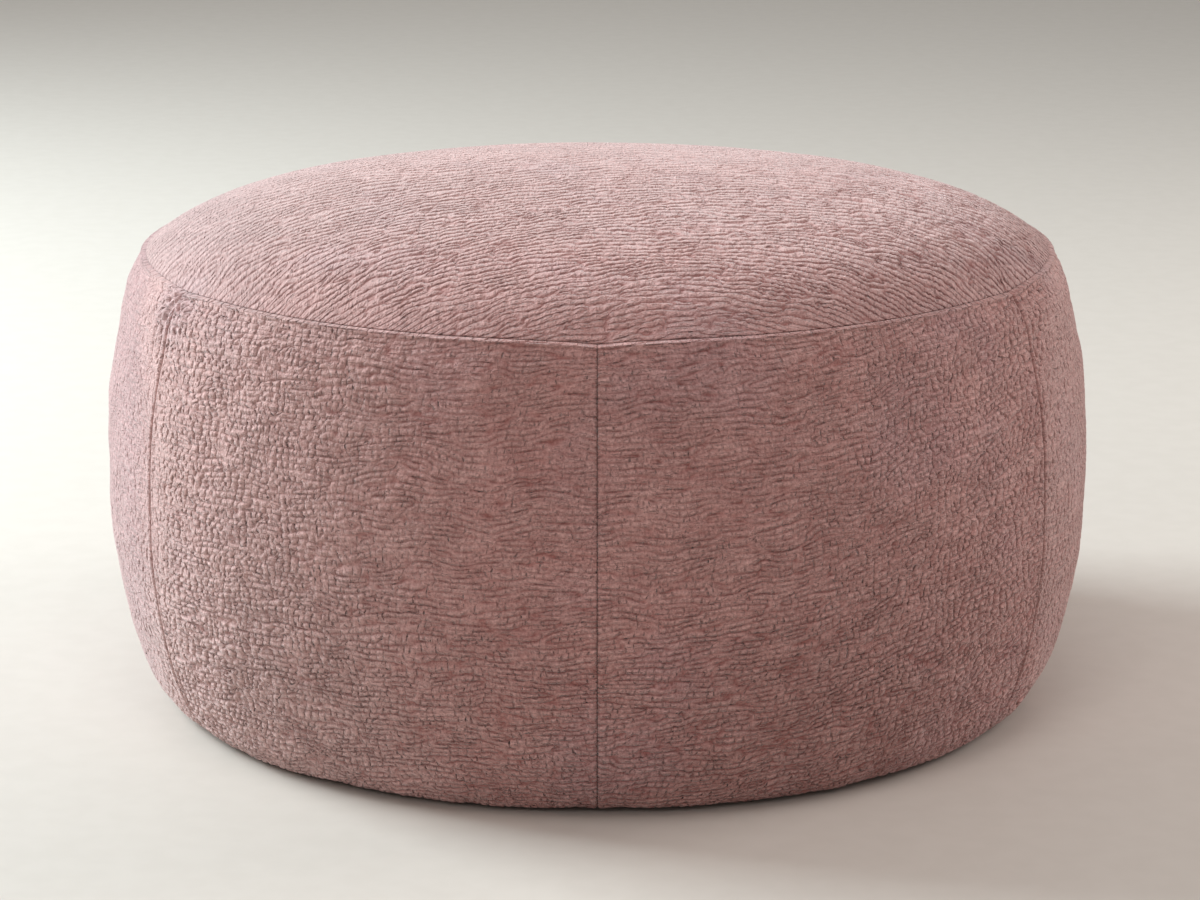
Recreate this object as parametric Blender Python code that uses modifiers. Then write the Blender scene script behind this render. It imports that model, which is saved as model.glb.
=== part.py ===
import math

import bmesh
import bpy
from mathutils import Vector

# A round drum-shaped floor pouf, upright, with the middle of its underside at the origin.
# Six side panels stand round the filling, a crowned top panel closes them above and a
# base panel below. Driving dimensions are in metres.
WIDEST_RADIUS = 0.400
WIDEST_HEIGHT = 0.169
FOOT_RADIUS = 0.351        # where the side panels turn under
FOOT_LIFT = 0.003          # the side panels stop this far above the floor
TOP_SEAM_RADIUS = 0.365
TOP_SEAM_HEIGHT = 0.363
CROWN_HEIGHT = 0.404
BASE_RADIUS = 0.336
BASE_THICKNESS = 0.012
BASE_EDGE = 0.004          # rounding of the base panel's rim
BASE_EDGE_STEPS = 3

# Fullness of the filled form, as exponents of its curves
FOOT_FULLNESS = 1.18
SHOULDER_FULLNESS = 2.8
CROWN_FULLNESS = 7.3

# Seams
PANEL_COUNT = 6
PIECE_GAP = 0.0003         # between the sewn pieces
ROLL = 0.0035              # how far a sewn edge turns in
ROLL_WIDTH = 0.008
PULL_IN = 0.002            # how far the upright seams draw the form in
PULL_WIDTH = 0.040
SCALLOP = 0.0034           # how far the upright seams pull the top seam down
SCALLOP_WIDTH = 0.028

# Steps of the curves
FOOT_STEPS = 6
SHOULDER_STEPS = 7
CROWN_STEPS = 9
COLUMNS_PER_PANEL = 16
COLUMN_CROWDING = 1.9      # above 1 the columns gather at the upright seams
CORE_RADIUS = 0.002        # the panels' filling stops this close to the axis
SHELF_PARTS = (0.9, 0.7, 0.4)  # rings of the face between the sides and the top

PANEL_ANGLE = 2 * math.pi / PANEL_COUNT
FRONT_ANGLE = -math.pi / 2  # one upright seam faces the front, at -Y
SMOOTH_ANGLE = math.radians(50)

PINK_CLOTH = {"colour": (0.40, 0.235, 0.225, 1), "roughness": 0.92}
BASE_CLOTH = {"colour": (0.13, 0.085, 0.08, 1), "roughness": 0.95}


def clear_scene():
    for thing in list(bpy.data.objects):
        bpy.data.objects.remove(thing, do_unlink=True)


def make_collection(name):
    collection = bpy.data.collections.new(name)
    bpy.context.scene.collection.children.link(collection)
    return collection


def cloth_material(name, cloth):
    material = bpy.data.materials.new(name)
    material.use_nodes = True
    shader = material.node_tree.nodes["Principled BSDF"]
    shader.inputs["Base Color"].default_value = cloth["colour"]
    shader.inputs["Roughness"].default_value = cloth["roughness"]
    shader.inputs["Metallic"].default_value = 0
    return material


def foot_outline():
    """From the turned-under foot up to the widest height, as radius and height."""
    rise = WIDEST_HEIGHT - FOOT_LIFT
    spread = WIDEST_RADIUS - FOOT_RADIUS
    points = []
    for step in range(FOOT_STEPS):
        turn = math.pi / 2 * step / FOOT_STEPS
        radius = FOOT_RADIUS + spread * math.sin(turn) ** FOOT_FULLNESS
        height = FOOT_LIFT + rise * (1 - math.cos(turn) ** FOOT_FULLNESS)
        points.append((radius, height))
    return points


def shoulder_outline():
    """From the widest height up to just under the top seam."""
    rise = TOP_SEAM_HEIGHT - WIDEST_HEIGHT
    lean = WIDEST_RADIUS - TOP_SEAM_RADIUS
    last = 1 - ROLL / rise
    points = []
    for step in range(SHOULDER_STEPS + 1):
        part = last * step / SHOULDER_STEPS
        radius = WIDEST_RADIUS - lean * part ** SHOULDER_FULLNESS
        points.append((radius, WIDEST_HEIGHT + rise * part))
    return points


def crown_outline():
    """From the middle of the top down to its rim."""
    rise = CROWN_HEIGHT - TOP_SEAM_HEIGHT
    points = []
    for step in range(CROWN_STEPS + 1):
        part = math.sin(math.pi / 2 * step / CROWN_STEPS)
        radius = (TOP_SEAM_RADIUS + ROLL / 4) * part
        height = TOP_SEAM_HEIGHT + rise * (1 - part ** CROWN_FULLNESS)
        points.append((radius, max(height, TOP_SEAM_HEIGHT + ROLL)))
    return points


def crowded_angle(angle):
    """Gather evenly spaced columns towards the nearest upright seam."""
    panel = math.floor(angle / PANEL_ANGLE)
    middle = (panel + 0.5) * PANEL_ANGLE
    part = (angle - middle) / (PANEL_ANGLE / 2)
    gathered = 1 - max(0, 1 - abs(part)) ** COLUMN_CROWDING
    return middle + math.copysign(gathered, part) * PANEL_ANGLE / 2


def seam_distance(radius, angle):
    """Distance along the surface to the nearest upright seam."""
    part = angle / PANEL_ANGLE
    return abs(part - round(part)) * PANEL_ANGLE * radius


def sewn_point(point, rolled):
    """Draw a point in and down where an upright seam pulls at the form."""
    radius = math.hypot(point.x, point.y)
    angle = crowded_angle(math.atan2(point.y, point.x))
    distance = seam_distance(radius, angle)
    tucked = BASE_RADIUS + PIECE_GAP
    reach = min(1, max(0, (radius - tucked) / (FOOT_RADIUS - tucked)))
    part_up = min(1, max(0, (point.z - WIDEST_HEIGHT) / (TOP_SEAM_HEIGHT - WIDEST_HEIGHT)))
    part_over = max(0, (point.z - TOP_SEAM_HEIGHT) / (CROWN_HEIGHT - TOP_SEAM_HEIGHT))
    fade = reach * max(0, 1 - part_over)
    inward = PULL_IN * math.exp(-distance / PULL_WIDTH)
    if rolled:
        inward += ROLL * max(0, 1 - distance / ROLL_WIDTH) ** 2
    down = SCALLOP * math.exp(-distance / SCALLOP_WIDTH) * part_up ** 2
    radius -= inward * fade
    return Vector((radius * math.cos(angle), radius * math.sin(angle), point.z - down * fade))


def place_piece(name, mesh, turn, collection, cloth):
    """Dress a finished mesh in its cloth and turn it to its place round the axis."""
    piece = bpy.data.objects.new(name, mesh)
    piece.rotation_euler.z = turn
    mesh.materials.clear()
    mesh.materials.append(cloth_material(name + "_cloth", cloth))
    mesh.shade_smooth()
    mesh.set_sharp_from_angle(angle=SMOOTH_ANGLE)
    collection.objects.link(piece)


def turned_mesh(name, outline):
    """Turn an outline, listed top to bottom, and sew it to the side panels' columns."""
    line = bpy.data.meshes.new(name + "_line")
    edges = [(i, i + 1) for i in range(len(outline) - 1)]
    line.from_pydata([(radius, 0, height) for radius, height in outline], edges, [])
    guide = bpy.data.objects.new(name + "_line", line)
    bpy.context.scene.collection.objects.link(guide)
    screw = guide.modifiers.new("Turn", "SCREW")
    screw.axis = "Z"
    screw.angle = 2 * math.pi
    screw.steps = PANEL_COUNT * COLUMNS_PER_PANEL
    screw.render_steps = PANEL_COUNT * COLUMNS_PER_PANEL
    screw.use_merge_vertices = True
    screw.merge_threshold = 0.00001
    graph = bpy.context.evaluated_depsgraph_get()
    mesh = bpy.data.meshes.new_from_object(guide.evaluated_get(graph))
    mesh.name = name
    bpy.data.objects.remove(guide, do_unlink=True)
    bpy.data.meshes.remove(line)
    for corner in mesh.vertices:
        corner.co = sewn_point(corner.co, rolled=False)
    return mesh


def side_panel(name, turn, collection):
    """A sixth of the drum: the bulged panel with the filling behind it."""
    shelf = TOP_SEAM_HEIGHT
    floor_of_filling = BASE_THICKNESS + PIECE_GAP
    tucked = BASE_RADIUS + PIECE_GAP
    outline = foot_outline() + shoulder_outline()
    outline += [(TOP_SEAM_RADIUS - ROLL / 3, shelf - ROLL / 3)]
    outline += [(TOP_SEAM_RADIUS - ROLL, shelf)]
    outline += [(TOP_SEAM_RADIUS * part, shelf) for part in SHELF_PARTS]
    outline += [(CORE_RADIUS, shelf), (CORE_RADIUS, floor_of_filling)]
    outline += [(tucked, floor_of_filling), (tucked, FOOT_LIFT + ROLL)]
    outline += [(FOOT_RADIUS - 2 * ROLL, FOOT_LIFT + ROLL / 3)]

    shape = bmesh.new()
    corners = [shape.verts.new((radius, 0, height)) for radius, height in outline]
    section = shape.faces.new(corners)
    bmesh.ops.spin(
        shape,
        geom=[section] + list(section.edges) + list(section.verts),
        cent=(0, 0, 0),
        axis=(0, 0, 1),
        angle=PANEL_ANGLE,
        steps=COLUMNS_PER_PANEL,
        use_duplicate=False,
    )
    for corner in shape.verts:
        angle = math.atan2(corner.co.y, corner.co.x)
        corner.co = sewn_point(corner.co, rolled=True)
        # Each cut side stands half a gap clear of the seam
        for seam_angle, away in ((0, 1), (PANEL_ANGLE, -1)):
            if abs(angle - seam_angle) < PANEL_ANGLE / COLUMNS_PER_PANEL / 2:
                across = Vector((-math.sin(seam_angle), math.cos(seam_angle), 0))
                corner.co += across * away * PIECE_GAP / 2
    bmesh.ops.recalc_face_normals(shape, faces=shape.faces)
    mesh = bpy.data.meshes.new(name)
    shape.to_mesh(mesh)
    shape.free()
    place_piece(name, mesh, turn, collection, PINK_CLOTH)


def top_panel(collection):
    """The crowned cushion-like top, with its rolled rim on the side panels."""
    under = TOP_SEAM_HEIGHT + PIECE_GAP
    outline = crown_outline()
    outline += [(TOP_SEAM_RADIUS - ROLL / 3, under + ROLL / 3)]
    outline += [(TOP_SEAM_RADIUS - ROLL, under)]
    outline += [(TOP_SEAM_RADIUS * part, under) for part in SHELF_PARTS]
    outline += [(0, under)]
    place_piece("top_panel", turned_mesh("top_panel", outline), FRONT_ANGLE, collection, PINK_CLOTH)


def base_panel(collection):
    """The flat underside that the pouf stands on."""
    outline = [(0, BASE_THICKNESS)]
    for step in range(BASE_EDGE_STEPS + 1):
        turn = math.pi / 2 * step / BASE_EDGE_STEPS
        radius = BASE_RADIUS - BASE_EDGE * (1 - math.sin(turn))
        outline.append((radius, BASE_THICKNESS - BASE_EDGE * (1 - math.cos(turn))))
    for step in range(BASE_EDGE_STEPS + 1):
        turn = math.pi / 2 * step / BASE_EDGE_STEPS
        radius = BASE_RADIUS - BASE_EDGE * (1 - math.cos(turn))
        outline.append((radius, BASE_EDGE * (1 - math.sin(turn))))
    outline.append((0, 0))
    place_piece("base_panel", turned_mesh("base_panel", outline), FRONT_ANGLE, collection, BASE_CLOTH)


def build():
    clear_scene()
    pouf = make_collection("round_pouf")
    base_panel(pouf)
    for number in range(PANEL_COUNT):
        turn = FRONT_ANGLE + number * PANEL_ANGLE
        side_panel(f"side_panel_{number + 1}", turn, pouf)
    top_panel(pouf)


build()
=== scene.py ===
import math

import bpy
import numpy as np
from mathutils import Matrix, Vector


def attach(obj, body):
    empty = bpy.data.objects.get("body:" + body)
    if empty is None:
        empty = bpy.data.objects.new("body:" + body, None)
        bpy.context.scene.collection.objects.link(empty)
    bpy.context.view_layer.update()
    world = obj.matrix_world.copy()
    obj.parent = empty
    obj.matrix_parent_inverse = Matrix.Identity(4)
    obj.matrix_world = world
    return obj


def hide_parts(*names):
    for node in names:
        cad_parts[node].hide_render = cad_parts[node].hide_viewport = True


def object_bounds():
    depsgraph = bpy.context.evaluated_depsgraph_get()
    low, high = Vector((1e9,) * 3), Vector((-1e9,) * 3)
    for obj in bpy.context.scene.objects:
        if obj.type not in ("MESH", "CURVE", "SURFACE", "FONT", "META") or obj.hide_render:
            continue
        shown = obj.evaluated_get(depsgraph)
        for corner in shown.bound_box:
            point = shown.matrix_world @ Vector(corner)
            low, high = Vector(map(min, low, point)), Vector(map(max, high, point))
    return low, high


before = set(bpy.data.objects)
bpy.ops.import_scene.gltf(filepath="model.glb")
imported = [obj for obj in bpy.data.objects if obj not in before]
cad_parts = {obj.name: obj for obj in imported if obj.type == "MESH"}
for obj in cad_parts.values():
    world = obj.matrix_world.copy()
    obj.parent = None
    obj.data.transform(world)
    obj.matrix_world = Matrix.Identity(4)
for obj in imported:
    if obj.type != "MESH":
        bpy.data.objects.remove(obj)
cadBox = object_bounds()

# A round floor pouf in crinkled dusty-pink chenille: six side panels, a crowned top and
# a flat base. All lengths are in metres, with the middle of the underside at the origin.
drum = {
    "widestRadius": (cadBox[1].x - cadBox[0].x) / 2,
    "widestHeight": 0.169,
    "footRadius": 0.351,
    "footLift": 0.003,  # the cloth turns under this far above the floor
    "tuckRadius": 0.3363,  # where it meets the base panel
    "tuckHeight": 0.0125,
    "tuckCurve": (1.6, 2.4),  # how sharply it turns in and up to there
    "topSeamRadius": 0.365,
    "topSeamHeight": 0.363,
    "crownHeight": cadBox[1].z,
    "footFullness": 1.18,
    "shoulderFullness": 2.8,  # higher: straighter sides and a tighter shoulder
    "crownFullness": 7.3,  # higher: a flatter top and a tighter rim
    "outlineSteps": 160,
    "tuckSteps": 24,
    "outlineCentre": (0.27, 0.18),  # radius and height of a point that the outline bends round
    "panels": 6,
    "frontSeam": math.radians(-90),
    "pullIn": 0.002,  # how far the upright seams draw the form in
    "pullWidth": 0.040,
    "dip": 0.0034,  # how far they pull the top seam down
    "dipWidth": 0.028,
    "halfGap": 0.00015,  # half of the gap between two sewn pieces
}
panelAngle = 2 * math.pi / drum["panels"]
sideRise = drum["topSeamHeight"] - drum["widestHeight"]
crownRise = drum["crownHeight"] - drum["topSeamHeight"]


def startEditing():
    bpy.ops.object.mode_set(mode="EDIT")


def stopEditing():
    bpy.ops.object.mode_set(mode="OBJECT")


def deselectAll():
    if bpy.context.object and bpy.context.object.mode != "OBJECT":
        stopEditing()
    bpy.ops.object.select_all(action="DESELECT")


def pick(piece):
    deselectAll()
    piece.select_set(True)
    bpy.context.view_layer.objects.active = piece


def readPoints(mesh, what="co"):
    flat = np.empty(len(mesh.vertices) * 3)
    mesh.vertices.foreach_get(what, flat)
    return flat.reshape(-1, 3)


def writePoints(mesh, points):
    mesh.vertices.foreach_set("co", np.asarray(points, np.float32).ravel())
    mesh.update()


def readNormals(mesh):
    return readPoints(mesh, "normal")


def smoothStep(low, high, value):
    part = np.clip((value - low) / (high - low), 0, 1)
    return part * part * (3 - 2 * part)


def applyModifier(piece, name):
    pick(piece)
    bpy.ops.object.modifier_apply(modifier=name)


def subdivide(piece, levels):
    pick(piece)
    bpy.ops.object.modifier_add(type="SUBSURF")
    smooth = piece.modifiers[-1]
    smooth.levels = levels
    smooth.render_levels = levels
    smooth.boundary_smooth = "PRESERVE_CORNERS"
    smooth.uv_smooth = "NONE"
    bpy.ops.object.modifier_apply(modifier=smooth.name)


def makeSideOutline():
    # radius and height from the tucked edge, round the foot and up to the top seam
    rise = drum["widestHeight"] - drum["footLift"]
    spread = drum["widestRadius"] - drum["footRadius"]
    turn = np.linspace(0, math.pi / 2, drum["outlineSteps"])
    footRadius = drum["footRadius"] + spread * np.sin(turn) ** drum["footFullness"]
    footHeight = drum["footLift"] + rise * (1 - np.cos(turn) ** drum["footFullness"])
    part = np.linspace(0, 1, drum["outlineSteps"])[1:]
    lean = drum["widestRadius"] - drum["topSeamRadius"]
    sideRadius = drum["widestRadius"] - lean * part ** drum["shoulderFullness"]
    sideHeight = drum["widestHeight"] + sideRise * part
    tuck = np.linspace(0, 1, drum["tuckSteps"])[:-1]
    inCurve, upCurve = drum["tuckCurve"]
    tuckRadius = drum["tuckRadius"] + (drum["footRadius"] - drum["tuckRadius"]) * tuck ** inCurve
    tuckHeight = drum["footLift"] + (drum["tuckHeight"] - drum["footLift"]) * (1 - tuck) ** upCurve
    radius = np.concatenate([tuckRadius, footRadius, sideRadius])
    height = np.concatenate([tuckHeight, footHeight, sideHeight])
    steps = np.hypot(np.diff(radius), np.diff(height))
    along = np.concatenate([[0], np.cumsum(steps)])
    return radius, height, along


outlineRadius, outlineHeight, outlineAlong = makeSideOutline()
sideLength = outlineAlong[-1]
centreRadius, centreHeight = drum["outlineCentre"]
outlineTurn = np.unwrap(np.arctan2(outlineHeight - centreHeight, outlineRadius - centreRadius))


def lengthUp(points):
    # how far up the cloth a point lies, from the tucked edge
    radius = np.hypot(points[:, 0], points[:, 1])
    turn = np.arctan2(points[:, 2] - centreHeight, radius - centreRadius)
    turn = np.where(turn > outlineTurn[-1] + 1.0, turn - 2 * math.pi, turn)
    return np.interp(turn, outlineTurn, outlineAlong)


def seamDistance(points):
    # distance round the form to the nearest upright seam
    radius = np.hypot(points[:, 0], points[:, 1])
    part = (np.arctan2(points[:, 1], points[:, 0]) - drum["frontSeam"]) / panelAngle
    return np.abs(part - np.round(part)) * panelAngle * radius


def sewIn(points):
    # the upright seams draw the form in and pull the top seam down
    radius = np.hypot(points[:, 0], points[:, 1])
    away = seamDistance(points)
    reach = np.clip((radius - drum["tuckRadius"]) / (drum["footRadius"] - drum["tuckRadius"]), 0, 1)
    partUp = np.clip((points[:, 2] - drum["widestHeight"]) / sideRise, 0, 1)
    partOver = np.clip((points[:, 2] - drum["topSeamHeight"]) / crownRise, 0, 1)
    fade = reach * (1 - partOver)
    inward = drum["pullIn"] * np.exp(-away / drum["pullWidth"]) * fade
    down = drum["dip"] * np.exp(-away / drum["dipWidth"]) * partUp ** 2 * fade
    sewn = points.copy()
    sewn[:, :2] *= ((radius - inward) / np.maximum(radius, 1e-6))[:, None]
    sewn[:, 2] -= down
    return sewn


creases = {
    "grid": 0.001,  # the patterns are drawn on a grid this fine
    "evenness": 0.25,  # nearer 0 the creases are more alike in depth
    "plumpness": 0.75,  # below 1 the cloth is fuller between two creases
    "cellSpread": 0.45,  # how much the lengths of the cells vary
    "cellWedge": 0.6,  # how far the creases between them stray from upright
    "rowFade": (0.6, 1.5),  # the row creases fade in longer and lower patches
    "cellFade": 0.8,  # and those between the cells in smaller ones
    "leastRow": 0.05,
    "plainHeight": 0.75,  # the part of a crinkle's height that lies at the plain form
}


def noiseWaves(seed, size):
    # plain noise taken apart into waves, with how many of each go in a metre, up and across
    dice = np.random.default_rng(seed)
    counts = np.fft.fftfreq(size, creases["grid"])
    return np.fft.fft2(dice.standard_normal((size, size))), counts[:, None], counts[None, :]


def creaseWaves(seed, size, wave, along, spread, wedge):
    # a loose wave pattern; its zero lines are the creases
    white, up, across = noiseWaves(seed, size)
    if along == "round":
        main, side = up, across
    else:
        main, side = across, up
    count = np.hypot(main, side) * wave
    turn = np.arctan2(np.abs(side), np.abs(main))
    gain = np.exp(-((count - 1) / spread) ** 2) * np.exp(-(turn / wedge) ** 2) * (main > 0)
    waves = np.fft.ifft2(white * gain)
    level = np.abs(waves)
    return waves / (level + creases["evenness"] * level.mean())


def slowPatches(seed, size, width):
    # gentle patches about this wide, from -1 to 1 for the most part
    white, up, across = noiseWaves(seed, size)
    patches = np.real(np.fft.ifft2(white * np.exp(-(np.hypot(up, across) * width) ** 2)))
    patches -= patches.mean()
    return patches / (1.6 * patches.std())


def readPattern(pattern, across, up):
    # the pattern's value at each place, blended between its four nearest grid points
    size = pattern.shape[0]
    column = across / creases["grid"]
    row = up / creases["grid"]
    left = np.floor(column).astype(int)
    low = np.floor(row).astype(int)
    partColumn = column - left
    partRow = row - low
    here = pattern[low % size, left % size]
    right = pattern[low % size, (left + 1) % size]
    above = pattern[(low + 1) % size, left % size]
    both = pattern[(low + 1) % size, (left + 1) % size]
    lower = here + (right - here) * partColumn
    upper = above + (both - above) * partColumn
    return lower + (upper - lower) * partRow


def plump(wave):
    # rounded between two creases, with a valley at the crease
    return np.clip(np.abs(wave), 0, 1) ** creases["plumpness"]


def crinkle(seed, size, across, up, look):
    def waves(number, wave, along, spread, wedge):
        return readPattern(creaseWaves(seed + number, size, wave, along, spread, wedge), across, up)

    def cellWaves(number):
        wave = 2 * look["cellLength"]
        return np.real(waves(number, wave, "up", creases["cellSpread"], creases["cellWedge"]))

    rows = waves(0, 2 * look["rowPitch"], "round", look["rowSpread"], look["rowWedge"])
    oddCells = look["cellFlat"] * cellWaves(1)
    evenCells = look["cellFlat"] * cellWaves(2)
    # creases fade in and out along their length
    fadeAcross, fadeUp = creases["rowFade"]
    rowPatch = readPattern(slowPatches(seed + 3, size, look["patch"]), across * fadeAcross, up * fadeUp)
    cellPatch = readPattern(slowPatches(seed + 4, size, look["patch"] * creases["cellFade"]), across, up)
    rowDepth = np.clip(look["rowDepth"] + look["patchDepth"] * rowPatch, creases["leastRow"], 1)
    cellDepth = np.clip(look["cellDepth"] + look["cellPatchDepth"] * cellPatch, 0, 1)
    # for the painted light: from -1 on the under side of a row to 1 on its upper side
    rowSideLight = 2 * np.real(rows) * np.imag(rows)
    rows = np.real(rows) * look["rowFlat"]
    cells = np.where(rows > 0, oddCells, evenCells)
    height = (1 - (1 - plump(rows)) * rowDepth) * (1 - (1 - plump(cells)) * cellDepth)
    return height, (rows, oddCells, evenCells), (rowDepth, cellDepth, rowSideLight * rowDepth)


def keepPattern(mesh, waves, depths, looks):
    # the cloth's material reads these at every point
    for name, parts in (("crinkleWaves", waves), ("crinkleDepth", depths), ("pileLook", looks)):
        kept = mesh.attributes.new(name, "FLOAT_VECTOR", "POINT")
        kept.data.foreach_set("vector", np.stack(parts, 1).astype(np.float32).ravel())


def writeUvs(mesh, across, up):
    if not mesh.uv_layers:
        mesh.uv_layers.new(name="cloth")
    corners = np.empty(len(mesh.loops), int)
    mesh.loops.foreach_get("vertex_index", corners)
    pairs = np.stack([across[corners], up[corners]], 1)
    mesh.uv_layers.active.data.foreach_set("uv", pairs.astype(np.float32).ravel())


def rolledEdge(distance, width, depth):
    # how far a sewn edge turns in, at this distance from the stitching
    part = np.clip(1 - distance / width, 0, 1)
    return depth * (1 - np.sqrt(1 - part ** 2))


# the cloth is blown out a little between its seams
padding = {
    "pressure": 4.0,
    "frames": 20,
    "quality": 6,
    "mass": 0.3,
    "stiffness": 30,
    "bending": 0.5,
    "foam": 0.35,  # how firmly the foam behind holds the cloth
    "mostMove": 0.003,
}


def padOut(piece, border, spare):
    # spare cloth puckers a little between the seams
    start = readPoints(piece.data)
    sewn = piece.vertex_groups.new(name="sewnEdge")
    sewn.add(list(range(len(start))), padding["foam"], "REPLACE")
    sewn.add([int(i) for i in border], 1.0, "REPLACE")
    pick(piece)
    bpy.ops.object.modifier_add(type="CLOTH")
    cloth = piece.modifiers[-1]
    settings = cloth.settings
    settings.quality = padding["quality"]
    settings.mass = padding["mass"]
    settings.tension_stiffness = padding["stiffness"]
    settings.compression_stiffness = padding["stiffness"]
    settings.bending_stiffness = padding["bending"]
    settings.use_pressure = True
    settings.uniform_pressure_force = padding["pressure"]
    settings.vertex_group_mass = "sewnEdge"
    settings.pin_stiffness = 1.0
    settings.shrink_min = -spare
    settings.effector_weights.gravity = 0
    for step in range(1, padding["frames"] + 1):
        bpy.context.scene.frame_set(step)
    applyModifier(piece, cloth.name)
    bpy.context.scene.frame_set(1)
    piece.vertex_groups.remove(piece.vertex_groups["sewnEdge"])
    move = readPoints(piece.data) - start
    far = np.linalg.norm(move, axis=1)
    print("padding moved the cloth by up to", round(far.max() * 1000, 1), "mm")
    # a soft cap, so that no point stops dead
    capped = padding["mostMove"] * np.tanh(far / padding["mostMove"])
    writePoints(piece.data, start + move * (capped / np.maximum(far, 1e-9))[:, None])


def borderPoints(mesh):
    # the points on the open edge of a sheet
    count = {}
    for face in mesh.polygons:
        for edge in face.edge_keys:
            count[edge] = count.get(edge, 0) + 1
    return sorted({i for edge, uses in count.items() if uses == 1 for i in edge})


def selectOpenEdge():
    bpy.ops.mesh.select_all(action="DESELECT")
    bpy.ops.mesh.select_non_manifold(
        extend=False, use_wire=False, use_boundary=True, use_multi_face=False,
        use_non_contiguous=False, use_verts=False)


def extrudeInPlace():
    bpy.ops.mesh.extrude_region_move(TRANSFORM_OT_translate={"value": (0, 0, 0)})


def selectedPoints(mesh):
    chosen = np.zeros(len(mesh.vertices), bool)
    mesh.vertices.foreach_get("select", chosen)
    return chosen


def closeSheet(piece, wallDepth, apex):
    # turn the sewn edge in and draw it together at one point inside, so the piece is closed
    pick(piece)
    startEditing()
    bpy.ops.mesh.select_mode(type="VERT")
    selectOpenEdge()
    extrudeInPlace()
    stopEditing()
    points = readPoints(piece.data)
    chosen = selectedPoints(piece.data)
    ring = points[chosen]
    radius = np.hypot(ring[:, 0], ring[:, 1])
    ring[:, :2] *= ((radius - wallDepth) / radius)[:, None]
    points[chosen] = ring
    writePoints(piece.data, points)
    startEditing()
    extrudeInPlace()
    bpy.ops.mesh.merge(type="CENTER")
    stopEditing()
    points = readPoints(piece.data)
    points[selectedPoints(piece.data)] = apex
    writePoints(piece.data, points)


sidePanel = {
    "columns": 60,
    "rows": 60,
    "edgeCell": 0.003,  # the cells along the seams are this narrow
    "footCell": 0.004,
    "startSmaller": 0.0014,  # the padding swells it back
    "slackCurve": (0.8, 1.2),  # how that gathers in the middle, across and up
    "spare": 0.004,
    "widen": 0.42,  # the creases stand wider apart towards the left and right
    "widenBand": (0.5, 0.95),
    "rowPitch": 0.0047,
    "rowSpread": 0.50,
    "rowWedge": 0.29,
    "rowFlat": 1.45,  # above 1 the cloth is flatter, with narrower creases
    "cellFlat": 2.0,
    "rowDepth": 0.62,
    "cellLength": 0.0062,
    "cellDepth": 0.66,
    "patch": 0.0070,
    "patchDepth": 0.34,
    "cellPatchDepth": 0.50,
    "lean": (0.12, 0.04, -0.05, 0.05, 0.0, 0.03),  # how the rows climb on each panel
    "leanBand": (-0.2, 0.2),
    "wander": 0.002,  # and how far they wander up and down
    "wanderWidth": 0.06,
    "patternSize": 512,
    "patternStart": 0.25,  # where the middle of a panel lies in its pattern
    "relief": 0.0016,
    "calmBand": (0.0005, 0.009),  # the crinkles are lower beside a seam
    "calmLeast": 0.25,
    "lumps": 0.0006,  # how high, and how wide
    "lumpWidth": 0.075,
    "ripples": 0.0004,
    "rippleWidth": 0.028,
    "shoulder": 0.0034,  # how much fuller the padding is under the top seam
    "shoulderDown": 0.025,  # how far below the seam, and how wide
    "shoulderWidth": 0.021,
    "lip": 0.0006,  # the light ridge along the sewn edges
    "lipPlace": 0.0035,
    "lipWidth": 0.0022,
    "topLip": 2.6,  # so many times higher along the top seam
    "topLipPlace": 0.0022,
    "topLipWidth": 0.0018,
    "rollWidth": 0.0019,
    "rollDepth": 0.0008,
    "topRollWidth": 0.0012,
    "topRollDepth": 0.0005,
    "stayBand": (0.0005, 0.005),  # this near a seam the cloth moves only along it
    "wall": 0.004,  # how far the cloth's edge turns in behind the seam
    "innerPoint": (0.002, 0.18),  # radius and height where the inside is drawn together
}

# the cloth is gathered where an upright seam meets the top seam
gathers = {
    "pull": {(6, -1): 0.0022, (5, 1): 0.0016},  # most at these panels' corners
    "usualPull": 0.0005,
    "fanReach": 0.030,
    "fanFolds": 11,
    "foldPlaces": (0.010, 0.019),  # upright folds, this far from the seam
    "foldWidth": 0.0024,
    "foldDown": 0.024,
    "foldLength": 0.022,
    "foldDepth": 0.7,
}

# the painted sheen and the look of the pile on the sides; each band is where a look begins and is full
sidePile = {
    "footBand": (0.06, 0.24),  # heights between which the look of the foot ends
    "leftBand": (0.04, 0.28),  # painted sheen towards the lit left
    "backBand": (0, 0.3),  # and less so at the back
    "backLess": 0.5,
    "footMore": 0.4,  # painted sheen stronger still at the foot
    "rightRimBand": (0.335, 0.352),
    "rightRimPale": 0.45,  # painted sheen again past the right seam
    "leftRimBand": (0.325, 0.365),
    "leftRimLess": 0.6,  # and past the left seam less painted sheen, with some lavender
    "leftRimLavender": 0.5,
    "leftSmoothBand": (0.315, 0.345),  # the crinkles are fainter past the left seam
    "leftSmooth": 0.6,
    "rightSmoothBand": (0.335, 0.355),
    "rightSmooth": 0.4,
    "turnedBand": (0.12, 0.30),
    "rowsLess": 0.30,  # how much fainter the rows are at the left and right
    "cellsPlain": 0.78,  # the creases across them, in front, and how much more at the sides
    "cellsMore": 0.75,
    "footDeeper": 0.5,
    "paleBolder": 0.35,  # the crinkles stand higher where the sheen is painted, low down and right
    "footBolder": 0.25,
    "rightBolder": 0.35,
    "rightBand": (0.12, 0.28),
    "rollDeeper": 1.5,  # the left and right seams roll in deeper
    # painted shade along the upright seams, this wide
    "seamShadeWidth": 0.0008,
    "stitchFadeBand": (0, 0.035),  # an upright seam shows less close to the top seam
    "stitchLeast": 0.35,
}


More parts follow.
